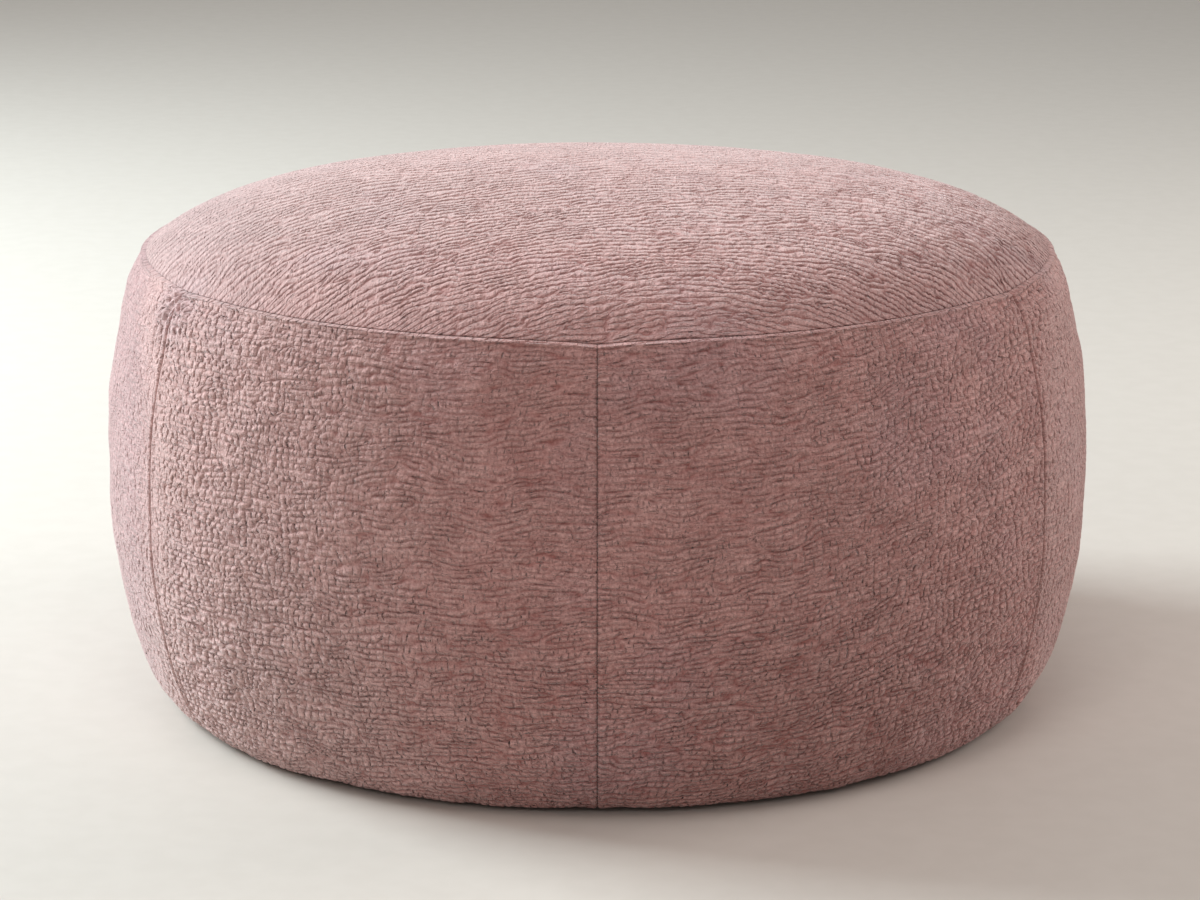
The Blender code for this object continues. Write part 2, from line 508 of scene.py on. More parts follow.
def roughSidePanel():
    # one panel as a sheet round the form, from the front seam to the next one
    deselectAll()
    bpy.ops.mesh.primitive_grid_add(
        x_subdivisions=sidePanel["columns"], y_subdivisions=sidePanel["rows"], size=1)
    panel = bpy.context.object
    panel.name = "sidePanelPattern"
    grid = readPoints(panel.data) + 0.5
    narrow = sidePanel["edgeCell"]
    cell = 1 / sidePanel["columns"]
    width = drum["widestRadius"] * panelAngle
    across = np.interp(grid[:, 0], [0, cell, 1 - cell, 1], [0, narrow / width, 1 - narrow / width, 1])
    cell = 1 / sidePanel["rows"]
    marks = [0, sidePanel["footCell"], sideLength - narrow, sideLength]
    up = np.interp(grid[:, 1], [0, cell, 1 - cell, 1], marks)
    radius = np.interp(up, outlineAlong, outlineRadius)
    height = np.interp(up, outlineAlong, outlineHeight)
    # start a little slack in the middle of the panel, where the padding will swell
    acrossCurve, upCurve = sidePanel["slackCurve"]
    partUp = np.clip(up / sideLength, 0, 1)
    slack = np.sin(np.pi * across) ** acrossCurve * np.sin(np.pi * partUp) ** upCurve
    radius = radius - sidePanel["startSmaller"] * slack
    edgeGap = drum["halfGap"] / radius
    angle = drum["frontSeam"] + edgeGap + (panelAngle - 2 * edgeGap) * across
    points = np.stack([radius * np.cos(angle), radius * np.sin(angle), height], 1)
    points = sewIn(points)
    points[:, 2] -= drum["halfGap"] * (up > sideLength - 1e-6)
    writePoints(panel.data, points)
    facing = drum["frontSeam"] + panelAngle / 2
    if readNormals(panel.data)[:, :2].dot([math.cos(facing), math.sin(facing)]).mean() < 0:
        panel.data.flip_normals()
    return panel


def creaseSpacing(middle):
    # lengths round the cloth that draw the creases wider apart on the pouf's left and right
    bearing = np.linspace(-panelAngle / 2, panelAngle / 2, 101)
    turned = smoothStep(*sidePanel["widenBand"], np.abs(np.cos(bearing + middle)))
    spacing = 1 - sidePanel["widen"] * turned
    reach = np.concatenate([[0], np.cumsum(spacing[1:] * np.diff(bearing))])
    return bearing, reach - reach[len(reach) // 2]


def sidePaintedSheenAndSmoothing(points):
    # painted sheen, lighter on the left, and smoother crinkles past the left and right seams
    look = sidePile
    left = -points[:, 0]
    right = points[:, 0]
    low = 1 - smoothStep(*look["footBand"], points[:, 2])
    paintedSheen = smoothStep(*look["leftBand"], left)
    paintedSheen = paintedSheen * (1 - look["backLess"] * smoothStep(*look["backBand"], points[:, 1]))
    paintedSheen *= 1 + look["footMore"] * low
    paintedSheen += look["rightRimPale"] * smoothStep(*look["rightRimBand"], right)
    farLeft = smoothStep(*look["leftRimBand"], left)
    paintedSheen -= look["leftRimLess"] * farLeft
    smoother = look["leftSmooth"] * smoothStep(*look["leftSmoothBand"], left)
    smoother = smoother + look["rightSmooth"] * smoothStep(*look["rightSmoothBand"], right)
    return low, paintedSheen, farLeft, smoother


def addGathers(out, number, angle, radius, toTop, nearEdge):
    # wrinkles run out of the panel's two top corners, with two folds beside each seam
    for side in (-1, 1):
        pull = gathers["pull"].get((number, side), gathers["usualPull"])
        toCorner = (panelAngle / 2 - side * angle) * radius
        reach = np.hypot(toCorner, toTop)
        fan = np.arctan2(toTop, toCorner)
        fade = np.exp(-(reach / gathers["fanReach"]) ** 2) * smoothStep(0.001, 0.010, reach)
        wrinkle = pull * fade * np.cos(gathers["fanFolds"] * fan + 1.5 * side)
        out += wrinkle * smoothStep(0, 0.004, nearEdge)
        for place in gathers["foldPlaces"]:
            fold = np.exp(-((toCorner - place - 0.1 * toTop) / gathers["foldWidth"]) ** 2)
            fade = np.exp(-((toTop - gathers["foldDown"]) / gathers["foldLength"]) ** 2)
            out += gathers["foldDepth"] * pull * fold * fade


def finishSidePanel(pattern, number):
    panel = pattern.copy()
    panel.data = pattern.data.copy()
    panel.name = f"sidePanel{number}"
    bpy.context.scene.collection.objects.link(panel)
    turn = (number - 1) * panelAngle
    panel.data.transform(Matrix.Rotation(turn, 4, "Z"))
    subdivide(panel, 2)
    mesh = panel.data
    points = readPoints(mesh)
    normals = readNormals(mesh)
    radius = np.hypot(points[:, 0], points[:, 1])
    middle = drum["frontSeam"] + turn + panelAngle / 2
    angle = np.arctan2(points[:, 1], points[:, 0]) - middle
    angle = (angle + math.pi) % (2 * math.pi) - math.pi
    across = np.interp(angle, *creaseSpacing(middle)) * radius
    up = lengthUp(points)
    toSeam = np.maximum((panelAngle / 2 - np.abs(angle)) * radius, 0)
    toTop = np.maximum(sideLength - up, 0)
    nearEdge = np.minimum(toSeam, toTop)

    # the rows of crinkles wander and climb a little; each panel has patterns of its own
    first = 100 * number
    size = sidePanel["patternSize"]
    inPattern = across + sidePanel["patternStart"]
    wander = readPattern(slowPatches(first + 6, size, sidePanel["wanderWidth"]), inPattern, up)
    wander = sidePanel["wander"] * wander
    climb = sidePanel["lean"][number - 1] * inPattern * smoothStep(*sidePanel["leanBand"], across)
    height, waves, depths = crinkle(first, size, inPattern, up + wander - climb, sidePanel)
    lumps = readPattern(slowPatches(first + 7, size, sidePanel["lumpWidth"]), inPattern, up)
    ripples = readPattern(slowPatches(first + 8, size, sidePanel["rippleWidth"]), inPattern, up)
    low, paintedSheen, farLeft, smoother = sidePaintedSheenAndSmoothing(points)
    # at the front and back the rows show most, on the left and right the creases across them
    turned = smoothStep(*sidePile["turnedBand"], np.abs(points[:, 0]))
    plain = (1 - smoother) * (1 + sidePile["footDeeper"] * low)
    rowStrength = 1 - sidePile["rowsLess"] * turned
    cellStrength = sidePile["cellsPlain"] + sidePile["cellsMore"] * turned
    strengths = (rowStrength, cellStrength, 1)
    depths = [np.minimum(depth * strength * plain, 1) for depth, strength in zip(depths, strengths)]

    # the relief: crinkles, lumps, the full shoulder and the gathered corners
    least = sidePanel["calmLeast"]
    calm = (least + (1 - least) * smoothStep(*sidePanel["calmBand"], nearEdge)) * (1 - smoother)
    bolder = 1 + sidePile["paleBolder"] * paintedSheen + sidePile["footBolder"] * low
    bolder = bolder + sidePile["rightBolder"] * smoothStep(*sidePile["rightBand"], points[:, 0])
    out = sidePanel["relief"] * (height - creases["plainHeight"]) * calm * bolder
    uneven = sidePanel["lumps"] * lumps + sidePanel["ripples"] * ripples
    out += uneven * smoothStep(0, 0.03, nearEdge)
    belowSeam = (toTop - sidePanel["shoulderDown"]) / sidePanel["shoulderWidth"]
    out += sidePanel["shoulder"] * np.exp(-belowSeam ** 2)
    addGathers(out, number, angle, radius, toTop, nearEdge)
    # a light ridge follows the sewn edges, then the edge rolls in
    besideLip = (toSeam - sidePanel["lipPlace"]) / sidePanel["lipWidth"]
    out += sidePanel["lip"] * np.exp(-besideLip ** 2)
    besideLip = (toTop - sidePanel["topLipPlace"]) / sidePanel["topLipWidth"]
    out += sidePanel["topLip"] * sidePanel["lip"] * np.exp(-besideLip ** 2)
    least = sidePile["stitchLeast"]
    sewn = least + (1 - least) * smoothStep(*sidePile["stitchFadeBand"], toTop)
    rollDepth = sidePanel["rollDepth"] * sewn * (1 + sidePile["rollDeeper"] * turned)
    out -= rolledEdge(toSeam, sidePanel["rollWidth"], rollDepth)
    out -= rolledEdge(toTop, sidePanel["topRollWidth"], sidePanel["topRollDepth"])

    # beside a seam the cloth moves only along the seam, so that neighbours stay clear
    for side in (-1, 1):
        seamAngle = middle + side * panelAngle / 2
        crossing = np.array([-math.sin(seamAngle), math.cos(seamAngle), 0])
        near = (1 - smoothStep(*sidePanel["stayBand"], toSeam)) * (np.sign(angle) == side)
        normals -= (normals @ crossing * near)[:, None] * crossing
    near = 1 - smoothStep(*sidePanel["stayBand"], toTop)
    normals[:, 2] *= 1 - near
    normals /= np.linalg.norm(normals, axis=1)[:, None]
    writePoints(mesh, points + normals * out[:, None])
    # painted shade along the upright seams, fading near the top seam
    line = sewn * np.exp(-(toSeam / sidePile["seamShadeWidth"]) ** 2)
    keepPattern(mesh, waves, depths, (paintedSheen, line, sidePile["leftRimLavender"] * farLeft))
    writeUvs(mesh, across, up)
    innerRadius, innerHeight = sidePanel["innerPoint"]
    innerPlace = (innerRadius * math.cos(middle), innerRadius * math.sin(middle), innerHeight)
    closeSheet(panel, sidePanel["wall"], innerPlace)
    pick(panel)
    bpy.ops.object.shade_smooth()
    return panel


topPanel = {
    "cells": 62,
    "rings": 8,
    "ringStep": 0.1,  # each ring lies this share of the block's half further out
    "blockReach": 0.300,  # the even block of cells reaches about this far
    "blockShape": (0.36, 0.60), # how much of a square and of a disc it is
    "edgeCell": 0.003,
    "startSmaller": 0.0016,
    "slackReach": 0.12,
    "spare": 0.0,
    "rowPitch": 0.0053,
    "rowSpread": 0.48,
    "rowWedge": 0.33,
    "rowFlat": 1.9,
    "cellFlat": 1.6,
    "rowDepth": 0.80,
    "cellLength": 0.0105,
    "cellDepth": 0.30,
    "patch": 0.006,
    "patchDepth": 0.18,
    "cellPatchDepth": 0.30,
    "stretch": 0.42,  # the crinkles of the flat middle are longer from front to back
    "sideStretch": 0.6,
    "arch": (0.16, 1.7, 2.4),  # how the ridges lean, bend and bend more towards the sides
    "relief": 0.0017,
    "calmBand": (0.001, 0.012),
    "calmLeast": 0.3,
    "patternSize": 1024,
    "patternStart": 0.5,
    "lumps": 0.0003,
    "lumpWidth": 0.11,
    "ripples": 0.3,  # this much as high as the lumps
    "rippleWidth": 0.035,
    "stayBand": (0.0005, 0.006),
    "rollWidth": 0.0032,
    "rollDepth": 0.0010,
    "wall": 0.006,
}

# the ridges and the painted sheen on the top; each band is where a look begins and is full
topPile = {
    "ridges": 1.2,  # how bold the ridges are at the middle, and more so on the right
    "rightMore": 0.2,
    "rightBand": (0, 0.3),
    "backBand": (-0.10, 0.32),
    "backLess": 0.82,
    "leftBand": (0.10, 0.33),
    "leftLess": 0.45,
    "frontBand": (0.24, 0.36),
    "frontLess": 0.20,
    "frontPale": 0.15,  # painted sheen, stronger from the front to the back, and to the left
    "backPale": 0.77,
    "backPaleBand": (-0.37, -0.05),
    "leftPale": 0.5,
    "leftPaleBand": (0, 0.3),
    "leftLavender": 0.3,
    "leftLavenderBand": (0.2, 0.34),
    "rowSideLight": 0.5,  # painted light on the upper sides of the ridges, weaker than on the sides
    # painted shade along the top seam: how dark and how wide
    "topSeamShade": 0.12,
    "seamShadeWidth": 0.0010,
}


def topFormPoints(plan):
    radius = np.hypot(plan[:, 0], plan[:, 1])
    part = np.clip(radius / drum["topSeamRadius"], 0, 1)
    height = drum["topSeamHeight"] + crownRise * (1 - part ** drum["crownFullness"])
    return np.stack([plan[:, 0], plan[:, 1], height], 1)


def roughTopPanel():
    # an even block of cells, then rings of cells out to the round seam
    deselectAll()
    bpy.ops.mesh.primitive_grid_add(
        x_subdivisions=topPanel["cells"], y_subdivisions=topPanel["cells"], size=2)
    top = bpy.context.object
    top.name = "topPanel"
    step = topPanel["ringStep"]
    startEditing()
    bpy.ops.mesh.select_mode(type="VERT")
    for ring in range(1, topPanel["rings"] + 1):
        selectOpenEdge()
        extrudeInPlace()
        grow = (1 + step * ring) / (1 - step + step * ring)
        bpy.ops.transform.resize(value=(grow, grow, 1), center_override=(0, 0, 0))
    stopEditing()

    square = readPoints(top.data)[:, :2]
    size = np.max(np.abs(square), axis=1)
    ring = np.clip((size - 1) / step, 0, None)
    flat = square / np.maximum(size, 1)[:, None]
    disc = flat * np.sqrt(1 - flat[:, ::-1] ** 2 / 2)
    squareShare, discShare = topPanel["blockShape"]
    block = topPanel["blockReach"] * (squareShare * flat + discShare * disc)
    # the rings run from the block's edge to the seam, the last one narrow
    upright = np.abs(flat[:, 1]) > np.abs(flat[:, 0])
    main = np.where(upright, flat[:, 1], flat[:, 0])
    side = np.where(upright, flat[:, 0], flat[:, 1])
    turn = side * math.pi / 4
    circle = np.stack([np.sign(main) * np.cos(turn), np.sin(turn)], 1)
    circle = np.where(upright[:, None], circle[:, ::-1], circle)
    last = topPanel["rings"] - 1
    inner = drum["topSeamRadius"] - topPanel["edgeCell"]
    part = np.clip(ring / last, 0, 1)[:, None]
    plan = block + (circle * inner - block) * part
    outer = np.clip(ring - last, 0, 1)[:, None]
    plan = plan + (circle * drum["topSeamRadius"] - plan) * outer * (ring[:, None] > last)
    points = topFormPoints(plan)
    radius = np.hypot(plan[:, 0], plan[:, 1])
    slack = smoothStep(0, topPanel["slackReach"], drum["topSeamRadius"] - radius)
    points[:, 2] -= topPanel["startSmaller"] * slack
    points = sewIn(points)
    points[:, 2] += drum["halfGap"] * (radius > drum["topSeamRadius"] - 1e-5)
    writePoints(top.data, points)
    if readNormals(top.data)[:, 2].mean() < 0:
        top.data.flip_normals()
    return top


def ridgeCoordinates(points):
    # the ridges of the top run in low arches; these are the ways along and across them,
    # wide apart on the flat middle and closer where the crown falls to its rim
    radius = np.maximum(np.hypot(points[:, 0], points[:, 1]), 1e-6)
    part = np.clip(radius / drum["topSeamRadius"], 0, 1)
    drop = crownRise * part ** drum["crownFullness"]
    x = points[:, 0] * (1 + topPanel["sideStretch"] * drop / radius)
    y = points[:, 1] * (topPanel["stretch"] + drop / radius)
    steps = np.linspace(-0.6, 0.6, 601)
    lean, bend, tighten = topPanel["arch"]
    slope = lean - bend * steps - tighten * steps ** 3
    arch = np.concatenate([[0], np.cumsum(slope[1:] * np.diff(steps))])
    arch = arch - arch[len(arch) // 2]
    length = np.concatenate([[0], np.cumsum(np.hypot(1, slope[1:]) * np.diff(steps))])
    along = np.interp(x, steps, length)
    across = (y - np.interp(x, steps, arch)) / np.hypot(1, np.interp(x, steps, slope))
    return along, across


def topRidgesAndPaintedSheen(points):
    # bolder ridges on the right, softer ones towards the back, the left and the very front; painted
    # sheen over all, more towards the back and the left
    look = topPile
    left = -points[:, 0]
    right = points[:, 0]
    front = -points[:, 1]
    back = points[:, 1]
    strength = look["ridges"] + look["rightMore"] * smoothStep(*look["rightBand"], right)
    strength = strength * (1 - look["backLess"] * smoothStep(*look["backBand"], back))
    strength *= 1 - look["leftLess"] * smoothStep(*look["leftBand"], left)
    strength *= 1 - look["frontLess"] * smoothStep(*look["frontBand"], front)
    paintedSheen = look["frontPale"] + look["backPale"] * smoothStep(*look["backPaleBand"], back)
    paintedSheen += look["leftPale"] * smoothStep(*look["leftPaleBand"], left)
    lavender = look["leftLavender"] * smoothStep(*look["leftLavenderBand"], left)
    return strength, paintedSheen, lavender


def finishTopPanel(top):
    subdivide(top, 2)
    mesh = top.data
    points = readPoints(mesh)
    normals = readNormals(mesh)
    radius = np.hypot(points[:, 0], points[:, 1])
    rim = drum["topSeamRadius"] - drum["pullIn"] * np.exp(-seamDistance(points) / drum["pullWidth"])
    toRim = np.maximum(rim - radius, 0)
    along, across = ridgeCoordinates(points)
    size = topPanel["patternSize"]
    start = topPanel["patternStart"]
    height, waves, depths = crinkle(900, size, along, across + start, topPanel)
    x = points[:, 0] + start
    y = points[:, 1] + start
    lumps = readPattern(slowPatches(907, size, topPanel["lumpWidth"]), x, y)
    ripples = readPattern(slowPatches(908, size, topPanel["rippleWidth"]), x, y)
    strength, paintedSheen, lavender = topRidgesAndPaintedSheen(points)
    least = topPanel["calmLeast"]
    calm = least + (1 - least) * smoothStep(*topPanel["calmBand"], toRim)
    out = topPanel["relief"] * (height - creases["plainHeight"]) * calm * strength
    uneven = topPanel["lumps"] * (lumps + topPanel["ripples"] * ripples)
    out += uneven * smoothStep(0, 0.06, toRim)
    out -= rolledEdge(toRim, topPanel["rollWidth"], topPanel["rollDepth"])
    # at the seam the cloth moves only sideways, so that it stays clear of the side panels
    near = 1 - smoothStep(*topPanel["stayBand"], toRim)
    normals[:, 2] *= 1 - near
    normals /= np.linalg.norm(normals, axis=1)[:, None]
    writePoints(mesh, points + normals * out[:, None])
    # painted shade along the top seam
    line = topPile["topSeamShade"] * np.exp(-(toRim / topPile["seamShadeWidth"]) ** 2)
    rowDepth, cellDepth, rowSideLight = depths
    depths = (rowDepth * strength, cellDepth * strength, topPile["rowSideLight"] * rowSideLight)
    keepPattern(mesh, waves, depths, (paintedSheen, line, lavender))
    writeUvs(mesh, along, across)
    closeSheet(top, topPanel["wall"], (0, 0, drum["topSeamHeight"] + drum["halfGap"]))
    pick(top)
    bpy.ops.object.shade_smooth()
    return top


basePanel = {
    "radius": 0.336,
    "thickness": 0.012,
    "sides": 128,
    "edge": 0.004,  # the rim is rounded by this much
    "hem": 0.018,
    "groove": 0.0012,
    "rings": (0.05, 0.10),  # keep the faces of the flat middle even
}


def makeBasePanel():
    deselectAll()
    bpy.ops.mesh.primitive_cylinder_add(
        vertices=basePanel["sides"], radius=basePanel["radius"], depth=basePanel["thickness"],
        location=(0, 0, basePanel["thickness"] / 2))
    base = bpy.context.object
    base.name = "basePanel"
    bpy.ops.object.transform_apply(location=True, rotation=True, scale=True)
    startEditing()
    bpy.ops.mesh.select_mode(type="FACE")
    bpy.ops.mesh.select_all(action="DESELECT")
    stopEditing()
    for face in base.data.polygons:
        face.select = abs(face.normal.z) > 0.9
    startEditing()
    bpy.ops.mesh.region_to_loop()
    bpy.ops.mesh.bevel(offset=basePanel["edge"], segments=4, affect="EDGES")
    bpy.ops.mesh.select_mode(type="FACE")
    bpy.ops.mesh.select_all(action="DESELECT")
    stopEditing()
    for face in base.data.polygons:
        face.select = face.normal.z < -0.9 and len(face.vertices) > 20
    startEditing()
    # a sewn hem round the underside: a shallow groove with the flat cloth inside it
    bpy.ops.mesh.inset(thickness=basePanel["hem"])
    bpy.ops.mesh.inset(thickness=basePanel["groove"])
    bpy.ops.transform.translate(value=(0, 0, basePanel["groove"]))
    bpy.ops.mesh.inset(thickness=basePanel["groove"])
    bpy.ops.mesh.inset(thickness=basePanel["groove"])
    bpy.ops.transform.translate(value=(0, 0, -basePanel["groove"]))
    for ring in basePanel["rings"]:
        bpy.ops.mesh.inset(thickness=ring)
    stopEditing()
    bpy.ops.object.shade_smooth_by_angle(angle=math.radians(40))
    return base


pinkCloth = {
    "light": (0.500, 0.286, 0.264, 1),
    "deep": (0.460, 0.250, 0.230, 1),
    "lavender": (0.455, 0.300, 0.325, 1),
    # painted sheen: the pale colour the lit pile goes to
    "paintedSheen": (0.590, 0.435, 0.415, 1),
    # painted shade in the creases: the colour they darken to
    "creaseShade": (0.210, 0.034, 0.024, 1),
    # painted shade along the seams: its colour
    "seamShade": (0.150, 0.062, 0.052, 1),
    "brightness": 1.06,
    "paleShare": 0.40,  # how far the painted sheen goes to its pale colour
    "seamShadeShare": 0.4,
    "crease": 0.68,  # how far the creases go to the painted crease shade colour
    "creaseOnPale": -0.20,  # and how much less so where the sheen is painted
    "cellShare": 0.6,  # creases across the rows get this share of the painted crease shade
    "rowSharp": 0.9,  # higher: narrower creases
    "cellSharp": 1.3,
    "fineCrease": 0.36,
    "fineOnPale": -0.16,
    "fineWidth": 0.07,
    "paintedRowLight": 0.25,  # painted light: how much lighter the upper side of a row is
    # painted shade: darker where the lavender mask is, at the far left and the top's left
    "paintedShadeOnLavender": -0.17,
    "patches": 0.25,  # the most lavender in the cloth's own patches
    "fibreGrain": 0.26,  # how far the fibres and ribs lighten and darken it
    "ribGrain": 0.14,
    "cloudGrain": 0.055,
    "creaseRelief": 0.0017,
    "pileRelief": 0.0016,
    "pileStrength": 0.9,
    "roughness": 0.95,
    "specular": 0.25,
    "sheen": 0.42,
    "sheenRoughness": 0.40,
    "sheenTint": (1.0, 0.90, 0.88, 1),
    "tug": (-0.316, -0.182, 0.350),  # where the cloth is gathered most
    "tugReach": (0.010, 0.055),
    "tugShare": 0.55,
}

# how many of each in a metre, across and up the cloth
clothScales = {
    "fineCreases": (85, 250),
    "mottle": (22, 48),
    "fibres": (480, 520),
    "speckle": (240, 300),
    "ribs": (560, 240),
    "wrinkles": (120, 330),
}


class NodeBench:
    # lays out a material's nodes and wires them up
    def __init__(self, name):
        self.material = bpy.data.materials.new(name)
        self.material.use_nodes = True
        self.tree = self.material.node_tree
        self.shader = self.tree.nodes["Principled BSDF"]

    def give(self, name, value):
        self.shader.inputs[name].default_value = value

    def wire(self, value, socket):
        if hasattr(value, "is_output"):
            self.tree.links.new(value, socket)
        else:
            socket.default_value = value

    def math(self, operation, first, second=None, third=None, clamp=False):
        node = self.tree.nodes.new("ShaderNodeMath")
        node.operation = operation
        node.use_clamp = clamp
        for socket, value in zip(node.inputs, (first, second, third)):
            if value is not None:
                self.wire(value, socket)
        return node.outputs[0]

    def ramp(self, value, fromLow, fromHigh, toLow=0.0, toHigh=1.0, smooth=True):
        node = self.tree.nodes.new("ShaderNodeMapRange")
        node.interpolation_type = "SMOOTHSTEP" if smooth else "LINEAR"
        self.wire(value, node.inputs["Value"])
        node.inputs["From Min"].default_value = fromLow
        node.inputs["From Max"].default_value = fromHigh
        node.inputs["To Min"].default_value = toLow
        node.inputs["To Max"].default_value = toHigh
        return node.outputs["Result"]

    def noise(self, where, scale, detail=2.0, roughness=0.5):
        node = self.tree.nodes.new("ShaderNodeTexNoise")
        self.wire(where, node.inputs["Vector"])
        node.inputs["Scale"].default_value = scale
        node.inputs["Detail"].default_value = detail
        node.inputs["Roughness"].default_value = roughness
        return node.outputs["Fac"]

    def mix(self, part, first, second):
        node = self.tree.nodes.new("ShaderNodeMix")
        node.data_type = "RGBA"
        self.wire(part, node.inputs["Factor"])
        self.wire(first, node.inputs[6])
        self.wire(second, node.inputs[7])
        return node.outputs[2]

    def brighten(self, colour, amount):
        node = self.tree.nodes.new("ShaderNodeVectorMath")
        node.operation = "SCALE"
        self.wire(colour, node.inputs[0])
        self.wire(amount, node.inputs["Scale"])
        return node.outputs[0]

    def attribute(self, name):
        node = self.tree.nodes.new("ShaderNodeAttribute")
        node.attribute_name = name
        split = self.tree.nodes.new("ShaderNodeSeparateXYZ")
        self.tree.links.new(node.outputs["Vector"], split.inputs[0])
        return split.outputs[0], split.outputs[1], split.outputs[2]

    def objectPlace(self):
        return self.tree.nodes.new("ShaderNodeTexCoord").outputs["Object"]

    def distance(self, where, point):
        node = self.tree.nodes.new("ShaderNodeVectorMath")
        node.operation = "DISTANCE"
        self.wire(where, node.inputs[0])
        node.inputs[1].default_value = point
        return node.outputs["Value"]

    def crease(self, level, narrow, depth):
        line = self.math("POWER", self.math("SUBTRACT", 1.0, level), narrow)
        return self.math("MULTIPLY", line, depth)

    def clothPlace(self):
        return self.tree.nodes.new("ShaderNodeUVMap").outputs["UV"]

    def stretched(self, where, across, up):
        node = self.tree.nodes.new("ShaderNodeMapping")
        self.wire(where, node.inputs["Vector"])
        node.inputs["Scale"].default_value = (across, up, 1)
        return node.outputs["Vector"]

    def bump(self, height, distance, strength, before=None):
        node = self.tree.nodes.new("ShaderNodeBump")
        node.inputs["Strength"].default_value = strength
        node.inputs["Distance"].default_value = distance
        self.wire(height, node.inputs["Height"])
        if before is not None:
            self.wire(before, node.inputs["Normal"])
        return node.outputs["Normal"]


def crinkleChenille():
    look = pinkCloth
    bench = NodeBench("crinkleChenille")
    place = bench.objectPlace()
    cloth = bench.clothPlace()

    def clothNoise(name, detail, roughness):
        across, up = clothScales[name]
        return bench.noise(bench.stretched(cloth, across, up), 1.0, detail, roughness)

    rows, oddCells, evenCells = bench.attribute("crinkleWaves")
    rowDepth, cellDepth, rowSideLight = bench.attribute("crinkleDepth")
    paintedSheen, line, lavender = bench.attribute("pileLook")
    # the creases are where the waves cross nought; odd and even rows break in different places
    rowLevel = bench.math("ABSOLUTE", rows, clamp=True)
    oddRow = bench.math("GREATER_THAN", rows, 0.0)
    cells = bench.math("ADD", bench.math("MULTIPLY", oddCells, oddRow),
                       bench.math("MULTIPLY", evenCells, bench.math("SUBTRACT", 1.0, oddRow)))
    cellLevel = bench.math("ABSOLUTE", cells, clamp=True)
    rowCrease = bench.crease(rowLevel, look["rowSharp"], rowDepth)
    cellCrease = bench.crease(cellLevel, look["cellSharp"], cellDepth)
    # shorter and finer creases between them
    between = bench.math("SUBTRACT", clothNoise("fineCreases", 1, 0.5), 0.5)
    fine = bench.ramp(bench.math("ABSOLUTE", between), 0.0, look["fineWidth"], 1.0, 0.0)
    fineDepth = bench.math("MULTIPLY_ADD", paintedSheen, look["fineOnPale"], look["fineCrease"])
    fine = bench.math("MULTIPLY", fine, fineDepth)
    crinkleHeight = bench.math("MAXIMUM", bench.math("MAXIMUM", rowCrease, cellCrease), fine)
    crinkleHeight = bench.math("SUBTRACT", 1.0, crinkleHeight)
    crease = bench.math("MAXIMUM", rowCrease, fine)
    crease = bench.math("MAXIMUM", crease, bench.math("MULTIPLY", cellCrease, look["cellShare"]))
    # colour: mottled pile, then lavender patches and the painted sheen
    mottle = bench.ramp(clothNoise("mottle", 3, 0.6), 0.34, 0.66)
    colour = bench.mix(mottle, look["deep"], look["light"])
    patch = bench.ramp(bench.noise(place, 9, 2, 0.55), 0.50, 0.74, 0.0, look["patches"])
    tug = bench.ramp(bench.distance(place, look["tug"]), *look["tugReach"], look["tugShare"], 0.0)
    patch = bench.math("MAXIMUM", bench.math("MAXIMUM", patch, lavender), tug)
    colour = bench.mix(patch, colour, look["lavender"])
    colour = bench.mix(bench.math("MULTIPLY", paintedSheen, look["paleShare"]), colour, look["paintedSheen"])
    # short fibres stand up and down the cloth, fine wrinkles lie along it
    fibre = clothNoise("fibres", 2, 0.65)
    speckle = clothNoise("speckle", 2, 0.6)
    ribs = clothNoise("ribs", 1, 0.5)
    wrinkles = clothNoise("wrinkles", 2, 0.5)
    fibreGrain = bench.ramp(fibre, 0.3, 0.7, -look["fibreGrain"], look["fibreGrain"], False)
    ribGrain = bench.ramp(ribs, 0.3, 0.7, -look["ribGrain"], look["ribGrain"], False)
    cloud = bench.noise(place, 24, 2, 0.5)
    cloud = bench.ramp(cloud, 0.35, 0.65, -look["cloudGrain"], look["cloudGrain"])
    grain = bench.math("ADD", bench.math("ADD", fibreGrain, ribGrain), cloud)
    # painted light and shade: the upper side of each row is a little lighter, its under side dull
    light = bench.math("MULTIPLY_ADD", rowSideLight, look["paintedRowLight"], look["brightness"])
    # painted shade where the lavender mask is
    light = bench.math("MULTIPLY_ADD", lavender, look["paintedShadeOnLavender"], light)
    colour = bench.brighten(colour, bench.math("ADD", grain, light))
    # painted shade: the creases darken towards the crease shade colour, less where the sheen is painted
    creaseShadeMask = bench.math("MULTIPLY", crease, bench.math("MULTIPLY_ADD", paintedSheen, look["creaseOnPale"], 1.0))
    colour = bench.mix(bench.math("MULTIPLY", creaseShadeMask, look["crease"]), colour, look["creaseShade"])
    # painted shade along the seams
    colour = bench.mix(bench.math("MULTIPLY", line, look["seamShadeShare"]), colour, look["seamShade"])
    bench.wire(colour, bench.shader.inputs["Base Color"])
    # relief too fine for the mesh: creases, then wrinkles and pile
    creaseBump = bench.bump(crinkleHeight, look["creaseRelief"], 1.0)
    pile = bench.math("ADD", bench.math("MULTIPLY", fibre, 0.6), bench.math("MULTIPLY", speckle, 0.8))
    pile = bench.math("ADD", pile, bench.math("ADD", bench.math("MULTIPLY", ribs, 0.7), wrinkles))
    pileBump = bench.bump(pile, look["pileRelief"], look["pileStrength"], creaseBump)
    bench.wire(pileBump, bench.shader.inputs["Normal"])
    bench.give("Roughness", look["roughness"])
    bench.give("Specular IOR Level", look["specular"])
    bench.give("Sheen Weight", look["sheen"])
    bench.give("Sheen Roughness", look["sheenRoughness"])
    bench.give("Sheen Tint", look["sheenTint"])
    return bench.material


baseCloth = {
    "deep": (0.105, 0.068, 0.064, 1),
    "light": (0.155, 0.102, 0.096, 1),
    "threads": 5200.0,  # a plain weave at about 1.2 mm
    "weaveRelief": 0.0003,
    "roughness": 0.92,
    "sheen": 0.2,
}


